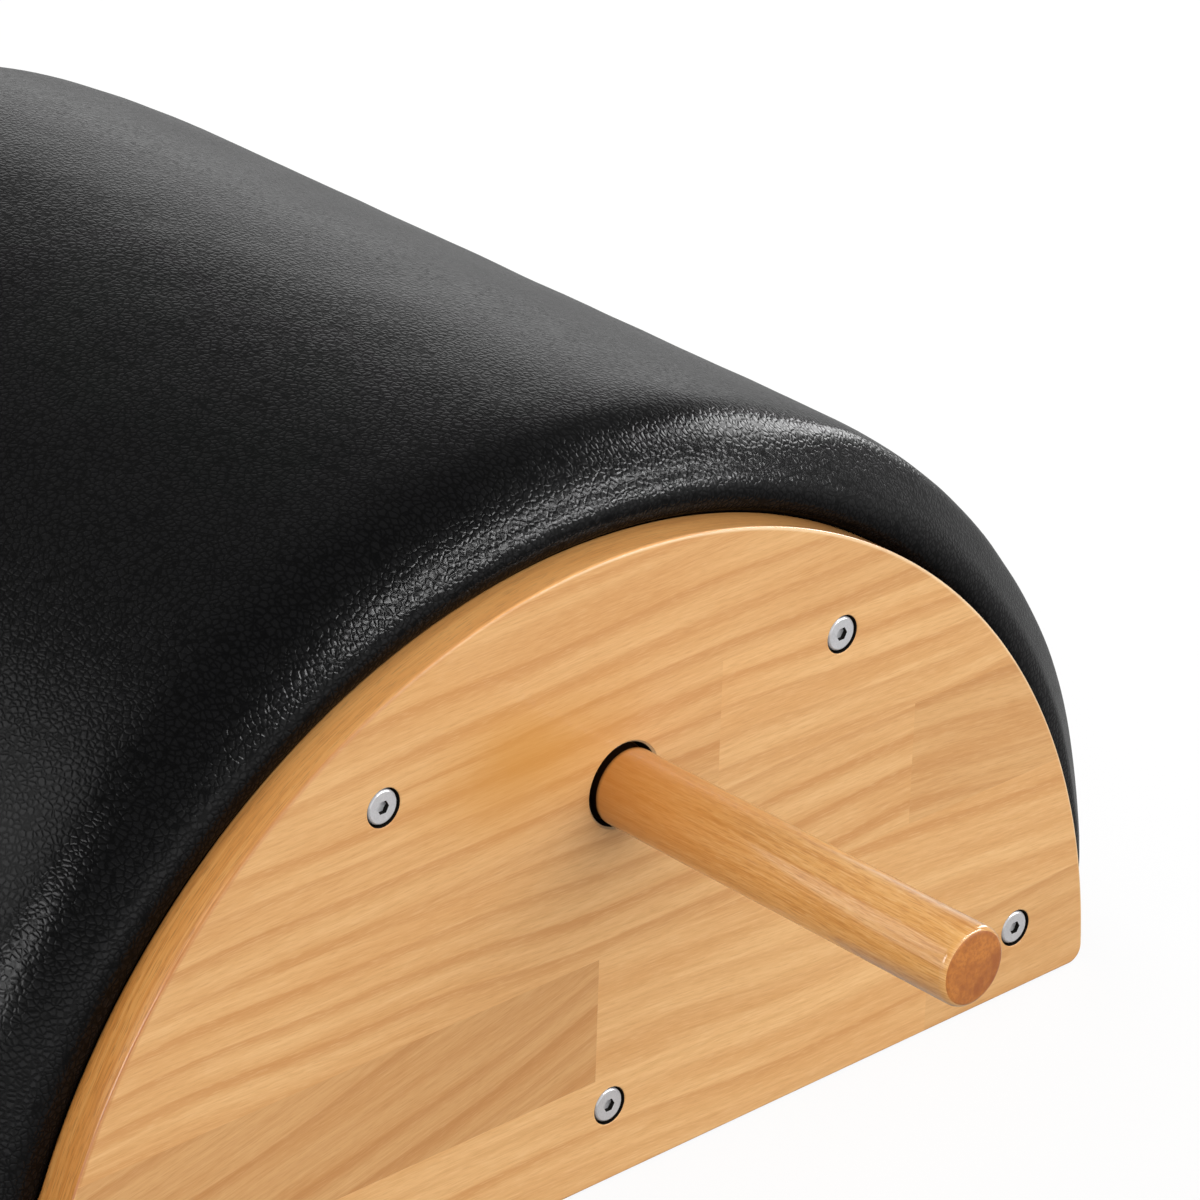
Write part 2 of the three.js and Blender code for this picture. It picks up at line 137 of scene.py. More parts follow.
# The padding is slightly uneven: bumps per metre and their height, full where it is thick enough
UNEVENNESS = [(22, 0.00035), (55, 0.00020)]
UNEVEN_FROM, UNEVEN_FULL = 0.004, 0.02

# The rounded long edge of the padding: distance in from the panel's inner face, and the share of
# the padding's thickness. Negative distances bulge over the wooden rim. The right edge is rounder
# over the top of the arch and squarer towards the foot.
EDGE_ROLL = [
    (0.0003, -0.04), (-0.0006, 0.010), (-0.0026, 0.058), (-0.0039, 0.158), (-0.0034, 0.276),
    (-0.0006, 0.430), (0.0055, 0.615), (0.0135, 0.830), (0.0180, 0.922), (0.0220, 0.957),
    (0.0300, 0.979), (0.0380, 0.989), (0.0460, 0.995), (0.0600, 0.999), (0.0750, 1.000),
]
TOP_EDGE_ROLL = [
    (0.0003, -0.040), (-0.0007, 0.011), (-0.0028, 0.068), (-0.0040, 0.163), (-0.0039, 0.271),
    (-0.0026, 0.368), (-0.0003, 0.463), (0.0040, 0.595), (0.0105, 0.747), (0.0165, 0.850),
    (0.0225, 0.918), (0.0295, 0.961), (0.0385, 0.984), (0.0500, 0.995), (0.0750, 1.000),
]
ROUNDER_FROM, ROUNDER_TO = math.radians(57), math.radians(72)
LEFT_EDGE_ROLL = [
    (0.0003, -0.04), (-0.0010, 0.010), (-0.0040, 0.060), (-0.0060, 0.160), (-0.0065, 0.320),
    (-0.0055, 0.500), (-0.0025, 0.670), (0.0020, 0.780), (0.0070, 0.850), (0.0130, 0.895),
    (0.0200, 0.925), (0.0280, 0.945), (0.0380, 0.965), (0.0600, 0.990), (0.0750, 1.000),
]

# The bulge over the rim, as a share of the profile's: on the barrel it grows from its foot to its
# top, and on the step it is the same everywhere
FOOT_BULGE, TOP_BULGE_GAIN, STEP_BULGE = 0.3, 1.05, 0.35

# Glue lines of the panel's boards: the height of the first and their spacing. Each strip, from the
# floor up, has the place where its two boards meet, how bright the left and the right one are, and
# how far the left one's grain slants down.
STRIP_START = -0.0065
STRIP_PITCH = 0.0544
# The 4th strip's right board and the 5th's left board are partly darker as painted shade
STRIPS = [
    (0.300, 1.02, 0.92, 0.00), (0.114, 0.82, 0.99, 0.20), (0.284, 0.96, 0.89, 0.00),
    (0.175, 0.93, 0.98, 0.00), (0.300, 0.93, 1.00, 0.00), (0.300, 0.95, 1.00, 0.00),
]

# The camera, fitted to the photograph
CAMERA_PLACE = (-1.424938, -1.854479, 1.355133)
CAMERA_TURN = (0.79293076, 0.4855945, -0.20474303, -0.30584161)
CAMERA_LENS = 198.123
CAMERA_SENSOR = 36.0
CAMERA_NEAR, CAMERA_FAR = 0.05, 50

# The floor, and how much of its own white it shows to the camera and in reflections
FLOOR_HALF = 6
FLOOR_Z = -0.0004
FLOOR_SEEN, FLOOR_MIRRORED = 0.90, 0.08
FLOOR_WHITE, FLOOR_GREY = (0.90, 0.90, 0.90), (0.26, 0.26, 0.26)

# The studio's level from the horizon up, and how it falls off beyond the foot of the barrel
SKY_UP_TO, SKY_LOW, SKY_HIGH = 0.52, 1.14, 0.20
SKY_SIDE_FROM, SKY_SIDE_TO, SKY_SIDE_SHARE = 0.74, 0.97, 0.36

# Area lights: start and end of the strip, target, height, power and the rays it is hidden from
SOFTBOXES = {
    "key": ((1.0, -5.3, 4.35), (5.7, -2.9, 2.65), (0.1, -0.2, 0.15), 0.44, 220, "diffuse"),
    "fill": ((-2.8, -5.6, 3.2), (4.6, -3.4, 3.0), (0.1, -0.2, 0.15), 4.6, 296, "glossy"),
    "rim": ((2.5, -0.6, 1.9), (2.95, 0.7, 0.5), (0.1, -0.2, 0.15), 0.5, 22, ""),
    "far": ((-2.4, 5.6, 3.0), (4.0, 4.6, 3.0), (0.1, 0.2, 0.15), 3.6, 300, "glossy"),
    "left": ((-2.4, 1.2, 1.8), (-1.2, 2.4, 1.8), (0.1, 0.0, 0.15), 1.4, 8, ""),
    "side": ((-3.0, -0.8, 1.6), (-3.0, 0.6, 1.6), (0.1, 0.0, 0.15), 1.2, 27, ""),
}


# Outline


def centre_beside(start, distance, height):
    rise = height - start[1]
    return start[0] - math.sqrt(distance**2 - rise**2), height


def angle_from(a, b):
    return math.atan2(b[1] - a[1], b[0] - a[0])


def box_centre(name):
    """Centre of a CAD node's box, in X and Z."""
    low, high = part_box(name)
    return (low.x + high.x) / 2, (low.z + high.z) / 2


HANDLE = box_centre("handle_right")
ARCH = (HANDLE[0] - HANDLE_OFFSET, -ARCH_DROP)
WELL = centre_beside(ARCH, ARCH_RADIUS + WELL_RADIUS, WELL_HEIGHT + WELL_RADIUS)
RISE = centre_beside(WELL, WELL_RADIUS + STEP_RISE_RADIUS, STEP_HEIGHT - STEP_RISE_RADIUS)
END = (RISE[0] - STEP_FLAT, STEP_HEIGHT - STEP_END_RADIUS)
END_X = END[0] - STEP_END_RADIUS
TO_WELL = angle_from(ARCH, WELL)
TO_RISE = angle_from(WELL, RISE) + 2 * math.pi
BOTTOM = 1.5 * math.pi


def arc(centre, radius, start, end):
    """Length of an arc, and its point and outward normal at a distance along it."""
    out = 1 if end > start else -1

    def at(s):
        a = start + out * s / radius
        c, n = math.cos(a), math.sin(a)
        return centre[0] + radius * c, centre[1] + radius * n, out * c, out * n

    return abs(end - start) * radius, at


def line(a, b):
    length = math.hypot(b[0] - a[0], b[1] - a[1])
    t = ((b[0] - a[0]) / length, (b[1] - a[1]) / length)
    return length, lambda s: (a[0] + t[0] * s, a[1] + t[1] * s, t[1], -t[0])


def walk(pieces, distances):
    """Points and normals of a chain of arcs and lines at the given distances along it."""
    found = []
    for s in distances:
        rest = s
        for number, (length, at) in enumerate(pieces):
            if rest <= length or number == len(pieces) - 1:
                found.append(at(rest))
                break
            rest -= length
    return found


foot_angle = math.asin((PAD_FOOT + ARCH_DROP) / ARCH_RADIUS)
BARREL = [
    arc(ARCH, ARCH_RADIUS, foot_angle, TO_WELL),
    arc(WELL, WELL_RADIUS, TO_WELL + math.pi, BOTTOM),
]
STEP = [
    arc(WELL, WELL_RADIUS, BOTTOM, TO_RISE),
    arc(RISE, STEP_RISE_RADIUS, TO_RISE - math.pi, math.pi / 2),
    line((RISE[0], STEP_HEIGHT), (END[0], STEP_HEIGHT)),
    arc(END, STEP_END_RADIUS, math.pi / 2, math.pi),
    line((END_X, END[1]), (END_X, PAD_FOOT)),
]


def panel_outline():
    """Points and outward normals round a panel, from the foot of the arch to the step's end."""
    same_point = 1e-5
    corner = CORNER_RADIUS
    foot = (ARCH[0] + math.sqrt((ARCH_RADIUS - corner) ** 2 - (corner + ARCH_DROP) ** 2), corner)
    end_foot = (END_X + corner, corner)
    start = angle_from(ARCH, foot)
    pieces = [
        (arc(foot, corner, -math.pi / 2, start), CORNER_STEPS),
        (arc(ARCH, ARCH_RADIUS, start, TO_WELL), ARCH_STEPS),
        (arc(WELL, WELL_RADIUS, TO_WELL + math.pi, TO_RISE), WELL_STEPS),
        (arc(RISE, STEP_RISE_RADIUS, TO_RISE - math.pi, math.pi / 2), RISE_STEPS),
        (arc(END, STEP_END_RADIUS, math.pi / 2, math.pi), END_STEPS),
        (arc(end_foot, corner, math.pi, BOTTOM), CORNER_STEPS),
    ]
    points = []
    for (length, at), steps in pieces:
        for i in range(steps + 1):
            p = at(length * i / steps)
            if not points or math.hypot(p[0] - points[-1][0], p[1] - points[-1][1]) > same_point:
                points.append(p)
    return points


# Meshes


def mesh_object(name, verts, faces):
    mesh = bpy.data.meshes.new(name)
    mesh.from_pydata([tuple(v) for v in verts], [], faces)
    mesh.update()
    obj = bpy.data.objects.new(name, mesh)
    scene.collection.objects.link(obj)
    return obj


def bake_modifiers(obj):
    bpy.context.view_layer.update()
    graph = bpy.context.evaluated_depsgraph_get()
    mesh = bpy.data.meshes.new_from_object(obj.evaluated_get(graph))
    obj.modifiers.clear()
    old, obj.data = obj.data, mesh
    mesh.name = obj.name
    bpy.data.meshes.remove(old)


def cut(obj, tools):
    for tool in tools:
        step = obj.modifiers.new("cut", "BOOLEAN")
        step.operation, step.solver, step.object = "DIFFERENCE", "EXACT", tool
    bake_modifiers(obj)
    for tool in tools:
        bpy.data.objects.remove(tool)


def face_out(obj):
    work = bmesh.new()
    work.from_mesh(obj.data)
    bmesh.ops.recalc_face_normals(work, faces=work.faces)
    work.to_mesh(obj.data)
    work.free()


def smooth(obj, degrees=35.0, weighted=False):
    obj.data.shade_smooth()
    obj.data.set_sharp_from_angle(angle=math.radians(degrees))
    if weighted:
        step = obj.modifiers.new("normals", "WEIGHTED_NORMAL")
        step.keep_sharp = True
        step.weight = 100


def mirrored(obj, name):
    twin = obj.copy()
    twin.data = obj.data.copy()
    twin.name = twin.data.name = name
    scene.collection.objects.link(twin)
    twin.data.transform(Matrix.Scale(-1, 4, (0, 1, 0)))
    twin.data.flip_normals()
    return twin


def ring_faces(count, rings):
    """The faces between rings of points, each with the same count."""
    faces = []
    for k in range(rings - 1):
        here, there = k * count, (k + 1) * count
        for i in range(count):
            j = (i + 1) % count
            faces.append((here + i, here + j, there + j, there + i))
    return faces


def end_faces(count, total):
    return [tuple(reversed(range(count))), tuple(range(total - count, total))]


def loft(name, verts, count):
    """A closed solid through sections of the same number of points."""
    faces = ring_faces(count, len(verts) // count) + end_faces(count, len(verts))
    obj = mesh_object(name, verts, faces)
    face_out(obj)
    return obj


def lathe(name, profile, segments, x=0.0, z=0.0):
    """A closed solid turned about an axis along Y, from (radius, y) pairs."""
    on_axis = 1e-7
    verts, faces, rings = [], [], []
    for r, y in profile:
        if r < on_axis:
            rings.append([len(verts)])
            verts.append((x, y, z))
            continue
        rings.append(list(range(len(verts), len(verts) + segments)))
        for i in range(segments):
            a = 2 * math.pi * i / segments
            verts.append((x + r * math.cos(a), y, z + r * math.sin(a)))
    for a, b in zip(rings, rings[1:]):
        for i in range(segments):
            j = (i + 1) % segments
            if len(a) == 1:
                faces.append((a[0], b[j], b[i]))
            elif len(b) == 1:
                faces.append((a[i], a[j], b[0]))
            else:
                faces.append((a[i], a[j], b[j], b[i]))
    obj = mesh_object(name, verts, faces)
    face_out(obj)
    return obj


def quarter_turns(steps):
    return [math.pi / 2 * i / steps for i in range(steps + 1)]


def quarter(r, y, size, turn, steps=ROUND_STEPS):
    """Points of a rounded corner from the rim (r, y - turn * size) to the face (r - size, y)."""
    return [
        (r - size * (1 - math.cos(a)), y - turn * size * (1 - math.sin(a)))
        for a in quarter_turns(steps)
    ]


# Side panels


def hole_tool():
    return lathe(
        "tool",
        [
            (0, INNER - OVERRUN), (HOLE_RADIUS + EASE + OVERRUN, INNER - OVERRUN),
            (HOLE_RADIUS, INNER + EASE), (HOLE_RADIUS, OUTER - HOLE_EASE),
            (HOLE_RADIUS + HOLE_EASE + OVERRUN, OUTER + OVERRUN), (0, OUTER + OVERRUN),
        ],
        HOLE_STEPS, *HANDLE,
    )


def recess_tool(x, z):
    recess_floor = OUTER - HEAD_SUNK - HEAD_HEIGHT - GAP
    bore = BOLT_RADIUS + BOLT_CLEARANCE
    return lathe(
        "tool",
        [
            (0, INNER - OVERRUN), (bore, INNER - OVERRUN), (bore, recess_floor),
            (RECESS_RADIUS, recess_floor), (RECESS_RADIUS, OUTER - EASE / 2),
            (RECESS_RADIUS + EASE / 2 + OVERRUN, OUTER + OVERRUN), (0, OUTER + OVERRUN),
        ],
        RECESS_STEPS, x, z,
    )


def make_panel(rail_places):
    outline = panel_outline()
    rings = [
        (ROUND_OVER * (1 - math.sin(a)), OUTER - ROUND_OVER * (1 - math.cos(a)))
        for a in quarter_turns(ROUND_STEPS)
    ]
    rings += [(inset, INNER + OUTER - y) for inset, y in reversed(rings)]
    verts = [(x - nx * t, y, z - nz * t) for t, y in rings for x, z, nx, nz in outline]
    count = len(outline)
    faces = [tuple(range(count)), tuple(reversed(range(len(verts) - count, len(verts))))]
    panel = mesh_object("panel_left", verts, faces + ring_faces(count, len(rings)))
    face_out(panel)
    cut(panel, [hole_tool()] + [recess_tool(x, z) for x, z in rail_places])
    smooth(panel, weighted=True)
    return panel


# Padding


def roll_height(share):
    inside = 1 - min(max(share, 0), 1)
    return (1 - inside**SQUARENESS) ** (1 / SQUARENESS)


def spline(points, steps):
    """A smooth curve through the points, with some steps between each two."""
    p = [Vector(q) for q in points]
    p = [p[0] * 2 - p[1], *p, p[-1] * 2 - p[-2]]
    curve = []
    for a, b, c, d in zip(p, p[1:], p[2:], p[3:]):
        for i in range(steps):
            t = i / steps
            curve.append(
                0.5 * (2 * b + (c - a) * t + (2 * a - 5 * b + 4 * c - d) * t**2
                       + (3 * b - a - 3 * c + d) * t**3)
            )
    return curve + [p[-2]]


def roll_profile(table):
    return [(p.x, p.y * PAD_THICKNESS) for p in spline(table, PROFILE_STEPS)]


RIGHT_EDGE, TOP_EDGE, LEFT_EDGE = (
    roll_profile(table) for table in (EDGE_ROLL, TOP_EDGE_ROLL, LEFT_EDGE_ROLL)
)


def spread(length, start_roll, end_roll, step):
    """Distances along a pad, closer together on its two rounded ends."""
    ends = [1 - math.cos(a) ** (2 / SQUARENESS) for a in quarter_turns(ROLL_STEPS)]
    middle = int((length - start_roll - end_roll) / step)
    inner = np.linspace(start_roll, length - end_roll, middle + 1)[1:-1]
    return [
        *[share * start_roll for share in ends],
        *inner,
        *[length - share * end_roll for share in reversed(ends)],
    ]


def deck_space(track, length, half, under):
    """The deck's space in a pad, open underneath between the turned-under edges."""
    margin = COVER + GAP / 2
    top, floor = -DECK_DROP + GAP / 2, -DECK_DROP - DECK_THICKNESS - GAP
    wide, slot, far = half - margin, half - TURN_UNDER, under - DECK_TOOL_REACH
    shape = [
        (-wide, top), (wide, top), (wide, floor), (slot, floor),
        (slot, far), (-slot, far), (-slot, floor), (-wide, floor),
    ]
    inner = np.linspace(margin, length - margin, int(length / DECK_STEP))
    verts = [
        (x + nx * h, y, z + nz * h) for x, z, nx, nz in walk(track, inner) for y, h in shape
    ]
    return loft("tool", verts, len(shape))


def make_pad(name, track, start, end, bulge, fullness, roundness):
    """A pad over its deck, with the leather turned under the deck's edges."""
    length = sum(piece[0] for piece in track)
    half = INNER - GAP
    under = -DECK_DROP - DECK_THICKNESS - GAP - COVER
    corner = TURN_UNDER_RADIUS
    low_side = [
        (half - corner * (1 - math.sin(a)), under + corner * (1 - math.cos(a)))
        for a in quarter_turns(TURN_UNDER_STEPS)
    ]
    across = np.linspace(1, 0, POINTS_ACROSS)[1:]

    def section(s, point):
        rise = 1.0
        for distance, (roll, drop) in ((s, start), (length - s, end)):
            rise *= 1 - drop * (1 - roll_height(distance / roll))
        b = bulge(point)
        full = 1 + fullness(point) / PAD_THICKNESS
        t = roundness(point)
        right_edge = [
            (d * (1 - t) + top_d * t, h * (1 - t) + top_h * t)
            for (d, h), (top_d, top_h) in zip(RIGHT_EDGE, TOP_EDGE)
        ]
        halves = []
        for edge in (right_edge, LEFT_EDGE):
            side = []
            for d, h in edge:
                side.append((INNER - (d * b if d < 0 else d), h * rise * full if h > 0 else h))
            last_y, last_h = side[-1]
            halves.append(low_side + side + [(last_y * t, last_h) for t in across])
        right, left = halves
        return [(-y, h) for y, h in right] + list(reversed(left[:-1]))

    verts = []
    stations = spread(length, start[0], end[0], STATION_STEP)
    for s, p in zip(stations, walk(track, stations)):
        x, z, nx, nz = p
        for y, h in section(s, p):
            if h > UNEVEN_FROM:
                place = Vector((x + nx * h, y, z + nz * h))
                for scale, amount in UNEVENNESS:
                    h += amount * min(1.0, h / UNEVEN_FULL) * noise.noise(place * scale)
            verts.append((x + nx * h, y, z + nz * h))
    pad = loft(name, verts, len(verts) // len(stations))
    cut(pad, [deck_space(track, length, half, under)])
    smooth(pad, degrees=40)
    return pad


# Materials


class Nodes:
    """The node tree of a material or a world, with short calls to add and link nodes."""

    def __init__(self, owner, shader="Principled BSDF", coordinates="Object"):
        owner.use_nodes = True
        self.owner = owner
        self.tree = owner.node_tree
        self.shader = self.tree.nodes[shader]
        self.where = self.add("TexCoord").outputs[coordinates]

    def plug(self, value, socket):
        """Link a socket to an input, or set the input to a number or a colour."""
        if isinstance(value, bpy.types.NodeSocket):
            self.tree.links.new(value, socket)
        elif isinstance(value, tuple) and len(value) < len(socket.default_value):
            socket.default_value = (*value, 1)
        else:
            socket.default_value = value

    def add(self, kind, inputs=(), **settings):
        node = self.tree.nodes.new("ShaderNode" + kind)
        for key, value in settings.items():
            setattr(node, key, value)
        for key, value in dict(inputs).items():
            self.plug(value, node.inputs[key])
        return node

    def math(self, operation, a, b=0.0, c=0.0):
        return self.add("Math", {0: a, 1: b, 2: c}, operation=operation).outputs[0]

    def split(self, vector):
        return self.add("SeparateXYZ", {0: vector}).outputs

    def join(self, x, y, z):
        return self.add("CombineXYZ", {0: x, 1: y, 2: z}).outputs[0]

    def scaled(self, x, y, z, vector=None):
        inputs = {0: vector or self.where, 1: (x, y, z)}
        return self.add("VectorMath", inputs, operation="MULTIPLY").outputs[0]

    def distance(self, a, b):
        return self.add("VectorMath", {0: a, 1: b}, operation="DISTANCE").outputs["Value"]

    def noise(self, vector, scale, detail=2.0, roughness=0.5, color=False):
        inputs = {"Vector": vector, "Scale": scale, "Detail": detail, "Roughness": roughness}
        return self.add("TexNoise", inputs).outputs["Color" if color else "Fac"]

    def chance(self, seed):
        return self.add("TexWhiteNoise", {"W": seed}, noise_dimensions="1D").outputs[0]

    def ramp(self, value, places, colors, interpolation="LINEAR"):
        node = self.add("ValToRGB", {0: value})
        node.color_ramp.interpolation = interpolation
        elements = node.color_ramp.elements
        while len(elements) < len(places):
            elements.new(0.5)
        for element, place, color in zip(elements, places, colors):
            element.position = place
            element.color = (*color, 1)
        return node.outputs[0]

    def range(self, value, low, high, to_low, to_high, interpolation="LINEAR"):
        inputs = {0: value, 1: low, 2: high, 3: to_low, 4: to_high}
        return self.add("MapRange", inputs, interpolation_type=interpolation).outputs[0]

    def fade(self, value, start, full, share=1.0, interpolation="LINEAR"):
        """Nothing where the value is at the start, and the share where it is full."""
        return self.range(value, start, full, 0.0, share, interpolation)

    def mix(self, factor, a, b, blend="MIX"):
        inputs = {0: factor, 6: a, 7: b}
        return self.add("Mix", inputs, data_type="RGBA", blend_type=blend).outputs[2]

    def toned(self, color, tone, value, start, full, share=1.0):
        """The colour turned to a tone, as far as the value fades in."""
        return self.mix(self.fade(value, start, full, share), color, tone)

    def bump(self, height, strength, distance):
        inputs = {"Height": height, "Strength": strength, "Distance": distance}
        return self.add("Bump", inputs).outputs[0]

    def finish(self, **links):
        for key, value in links.items():
            self.plug(value, self.shader.inputs[key.replace("_", " ")])
        return self.owner


def material(name):
    return Nodes(bpy.data.materials.new(name))


def barrel_polar(n):
    """Distance and angle about the centre of the arch."""
    x, _, z = n.split(n.where)
    out = n.math("SUBTRACT", x, ARCH[0])
    up = n.math("ADD", z, ARCH_DROP)
    squares = n.math("ADD", n.math("MULTIPLY", out, out), n.math("MULTIPLY", up, up))
    return n.math("SQRT", squares), n.math("ARCTAN2", up, out)


def leather():
    n = material("black_leather")
    # The creases are painted darker than the pebbles' crowns, as shade
    crease_shade, crown = (0.0010, 0.0010, 0.0011), (0.0030, 0.0030, 0.0033)
    # Pebbles, a little longer across the barrel, with edges that wander
    pebbles_per_metre, stretch, wander_per_metre, wander = 420, 0.72, 420, 0.0009
    drift = n.scaled(wander, wander, wander, n.noise(n.where, wander_per_metre, 1, color=True))
    place = n.add("VectorMath", {0: n.where, 1: drift}, operation="ADD").outputs[0]
    place = n.scaled(1.0, stretch, 1.0, place)
    cells = {"Vector": place, "Scale": pebbles_per_metre, "Randomness": 0.9}
    net = n.add("TexVoronoi", cells, feature="DISTANCE_TO_EDGE").outputs["Distance"]
    crease_width, swell_width, swell_height = 0.27, 0.50, 0.25
    pebbles = n.fade(net, 0.0, crease_width, interpolation="SMOOTHSTEP")
    swell = n.fade(net, 0.0, swell_width, swell_height)
    pores_per_metre, pore_depth = 2600, 0.05
    pores = n.noise(n.where, pores_per_metre, 1)
    height = n.math("MULTIPLY_ADD", pores, pore_depth, n.math("ADD", pebbles, swell))
    strength, relief = 0.39, 0.00020
    # Smoother in some parts than in others
    parts = n.noise(n.where, 18, 3)
    smoothest, roughest = 0.20, 0.25
    # Duller where it is tucked down beside the panel, and in the creases
    proud = n.math("SUBTRACT", barrel_polar(n)[0], ARCH_RADIUS)
    tucked, free = (0.003, 0.01), (0.015, 0.30)
    shine = n.range(proud, tucked[0], free[0], tucked[1], free[1])
    crease_shine = 0.6
    return n.finish(
        Base_Color=n.mix(pebbles, crease_shade, crown),
        Roughness=n.range(parts, 0.3, 0.7, smoothest, roughest),
        Normal=n.bump(height, strength, relief),
        Specular_IOR_Level=n.math(
            "MULTIPLY", shine, n.range(pebbles, 0.0, 1.0, crease_shine, 1.0)
        ),
    )


def growth_rings(n, along, across, seed):
    """Growth rings cut lengthwise: each darkens slowly and ends sharply, some more than others."""
    spacing, bend, weakest = 0.0145, 0.036, 0.15
    waves_along, waves_across = 4.0, 9.0
    place = n.join(
        n.math("MULTIPLY", along, waves_along), n.math("MULTIPLY", across, waves_across), seed
    )
    bent = n.math("MULTIPLY_ADD", n.noise(place, 1.0, 1), bend, across)
    ring = n.math("DIVIDE", bent, spacing)
    strength = n.chance(n.math("ADD", n.math("FLOOR", ring), seed))
    phase = n.math("FRACT", ring)
    late_from, late_full, late_until = 0.42, 0.90, 0.92
    rise = n.fade(phase, late_from, late_full, interpolation="SMOOTHSTEP")
    end = n.fade(phase, 1.0, late_until, interpolation="SMOOTHSTEP")
    tone = n.math("MULTIPLY", rise, end)
    return n.math("MULTIPLY", tone, n.range(strength, 0.0, 1.0, weakest, 1.0))


def wood_grain(n, along, across, seed):
    """Soft figure, grain lines and fine fibres of a board, as three values from 0 to 1."""
    bend, waves_along, waves_across = 0.016, 4.0, 8.0
    place = n.join(
        n.math("MULTIPLY", along, waves_along), n.math("MULTIPLY", across, waves_across), seed
    )
    across = n.math("MULTIPLY_ADD", n.noise(place, 1.0, 2), bend, across)

    def streaks(length, width, detail, roughness):
        """Noise drawn out to streaks of about this length and width."""
        run = n.math("MULTIPLY", along, 1 / length)
        lane = n.math("MULTIPLY", across, 1 / width)
        return n.noise(n.join(run, lane, seed), 1.0, detail, roughness)

    figure = streaks(0.18, 0.010, 3, 0.5)
    lines = streaks(0.060, 0.0020, 4, 0.65)
    fibres = streaks(0.008, 0.00055, 2, 0.6)
    return figure, lines, fibres


# The grain's relief, the colour of a painted highlight on lit edges, and a darker edge colour
GRAIN_RELIEF = 0.0003
HIGHLIGHT, DARKER_EDGE = (0.95, 0.72, 0.44), (0.50, 0.20, 0.06)
HOLE_EDGE_FADE = 0.0002


def board_wood():
    n = material("laminated_boards")
    x, _, z = n.split(n.where)
    row = n.math("FLOOR", n.math("DIVIDE", n.math("SUBTRACT", z, STRIP_START), STRIP_PITCH))
    turn = n.math("DIVIDE", n.math("ADD", row, 0.5), len(STRIPS))

    def by_strip(column):
        """Half of each strip's value, so that a colour ramp can hold it."""
        places = [i / len(STRIPS) for i in range(len(STRIPS))]
        return n.ramp(turn, places, [(strip[column] / 2,) * 3 for strip in STRIPS], "CONSTANT")

    meet = n.math("MULTIPLY", by_strip(0), 2.0)
    piece = n.math("GREATER_THAN", x, meet)
    bright = n.math("MULTIPLY", n.mix(piece, by_strip(1), by_strip(2)), 2.0)
    slant = n.math("MULTIPLY", by_strip(3), n.math("SUBTRACT", 1.0, piece))
    # Each board has its own chance, for the slope of its grain and for its figure
    row_seed, piece_seed, figures, level_chance, steepest = 7.31, 3.17, 40.0, 0.45, 0.12
    chance = n.chance(n.math("MULTIPLY_ADD", row, row_seed, n.math("MULTIPLY", piece, piece_seed)))
    tilt = n.math("MULTIPLY", n.math("SUBTRACT", chance, level_chance), steepest)
    tilt = n.math("SUBTRACT", tilt, n.math("MULTIPLY", slant, 2.0))
    across = n.math("MULTIPLY_ADD", x, tilt, z)
    seed = n.math("MULTIPLY", chance, figures)
    figure, lines, fibres = wood_grain(n, x, across, seed)
    rings = growth_rings(n, x, across, seed)

    dark, even, pale = (0.765, 0.428, 0.170), (0.825, 0.476, 0.198), (0.868, 0.520, 0.228)
    cloud, ring_tone = (0.690, 0.335, 0.112), (0.620, 0.280, 0.088)
    pore, fleck = (0.600, 0.290, 0.098), (0.930, 0.620, 0.320)
    ring_share = 0.62
    color = n.ramp(lines, (0.30, 0.48, 0.66), (dark, even, pale))
    color = n.toned(color, cloud, figure, start=0.56, full=0.36, share=0.55)
    color = n.mix(n.math("MULTIPLY", rings, ring_share), color, ring_tone)
    color = n.toned(color, pore, fibres, start=0.52, full=0.72, share=0.40)
    color = n.toned(color, fleck, fibres, start=0.46, full=0.30, share=0.30)

    # A warmer stain above and left of the handle's hole
    narrower, stain_place, stain = 0.55, (0.0385, -OUTER, 0.205), (0.680, 0.305, 0.058)
    waves_per_metre, wander = 14, 0.03
    near = n.distance(n.scaled(narrower, 1.0, 1.0), stain_place)
    near = n.math("MULTIPLY_ADD", n.noise(n.where, waves_per_metre, 2), wander, near)
    stained = n.fade(near, start=0.056, full=0.016, share=0.72, interpolation="SMOOTHSTEP")
    color = n.mix(stained, color, stain)

    # Painted highlight on the arris over the top and to the foot; darker arris behind the top
    radius, angle = barrel_polar(n)
    from_rim = n.math("SUBTRACT", ARCH_RADIUS, radius)
    arris = n.fade(from_rim, start=0.0016, full=0.0009, share=0.6)
    on_barrel = n.fade(angle, start=TO_WELL - 0.01, full=TO_WELL - 0.03)
    arris = n.math("MULTIPLY", arris, on_barrel)
    painted_highlight = n.math("MULTIPLY", arris, n.fade(angle, start=1.75, full=1.55))
    color = n.mix(painted_highlight, color, HIGHLIGHT)
    # The hole's eased edge gets a painted highlight too
    from_hole = n.distance(n.scaled(1, 0, 1), (HANDLE[0], 0, HANDLE[1]))
    hole_edge = HOLE_RADIUS + HOLE_EASE
    color = n.toned(color, HIGHLIGHT, from_hole, hole_edge, hole_edge - HOLE_EDGE_FADE, share=0.6)
    darkened = n.math("MULTIPLY", arris, n.fade(angle, start=1.80, full=2.00))
    color = n.mix(darkened, color, DARKER_EDGE)

    # A darker board is also redder
    green_power, blue_power = 1.35, 1.7
    tint = n.join(
        bright, n.math("POWER", bright, green_power), n.math("POWER", bright, blue_power)
    )
    height = n.math("MULTIPLY_ADD", fibres, -0.5, lines)
    return n.finish(
        Base_Color=n.mix(1.0, color, tint, "MULTIPLY"),
        Roughness=n.range(lines, 0.3, 0.7, 0.46, 0.38),
        Normal=n.bump(height, 0.07, GRAIN_RELIEF),
        Specular_IOR_Level=0.35,
        Coat_Weight=0.25,
        Coat_Roughness=0.15,
    )


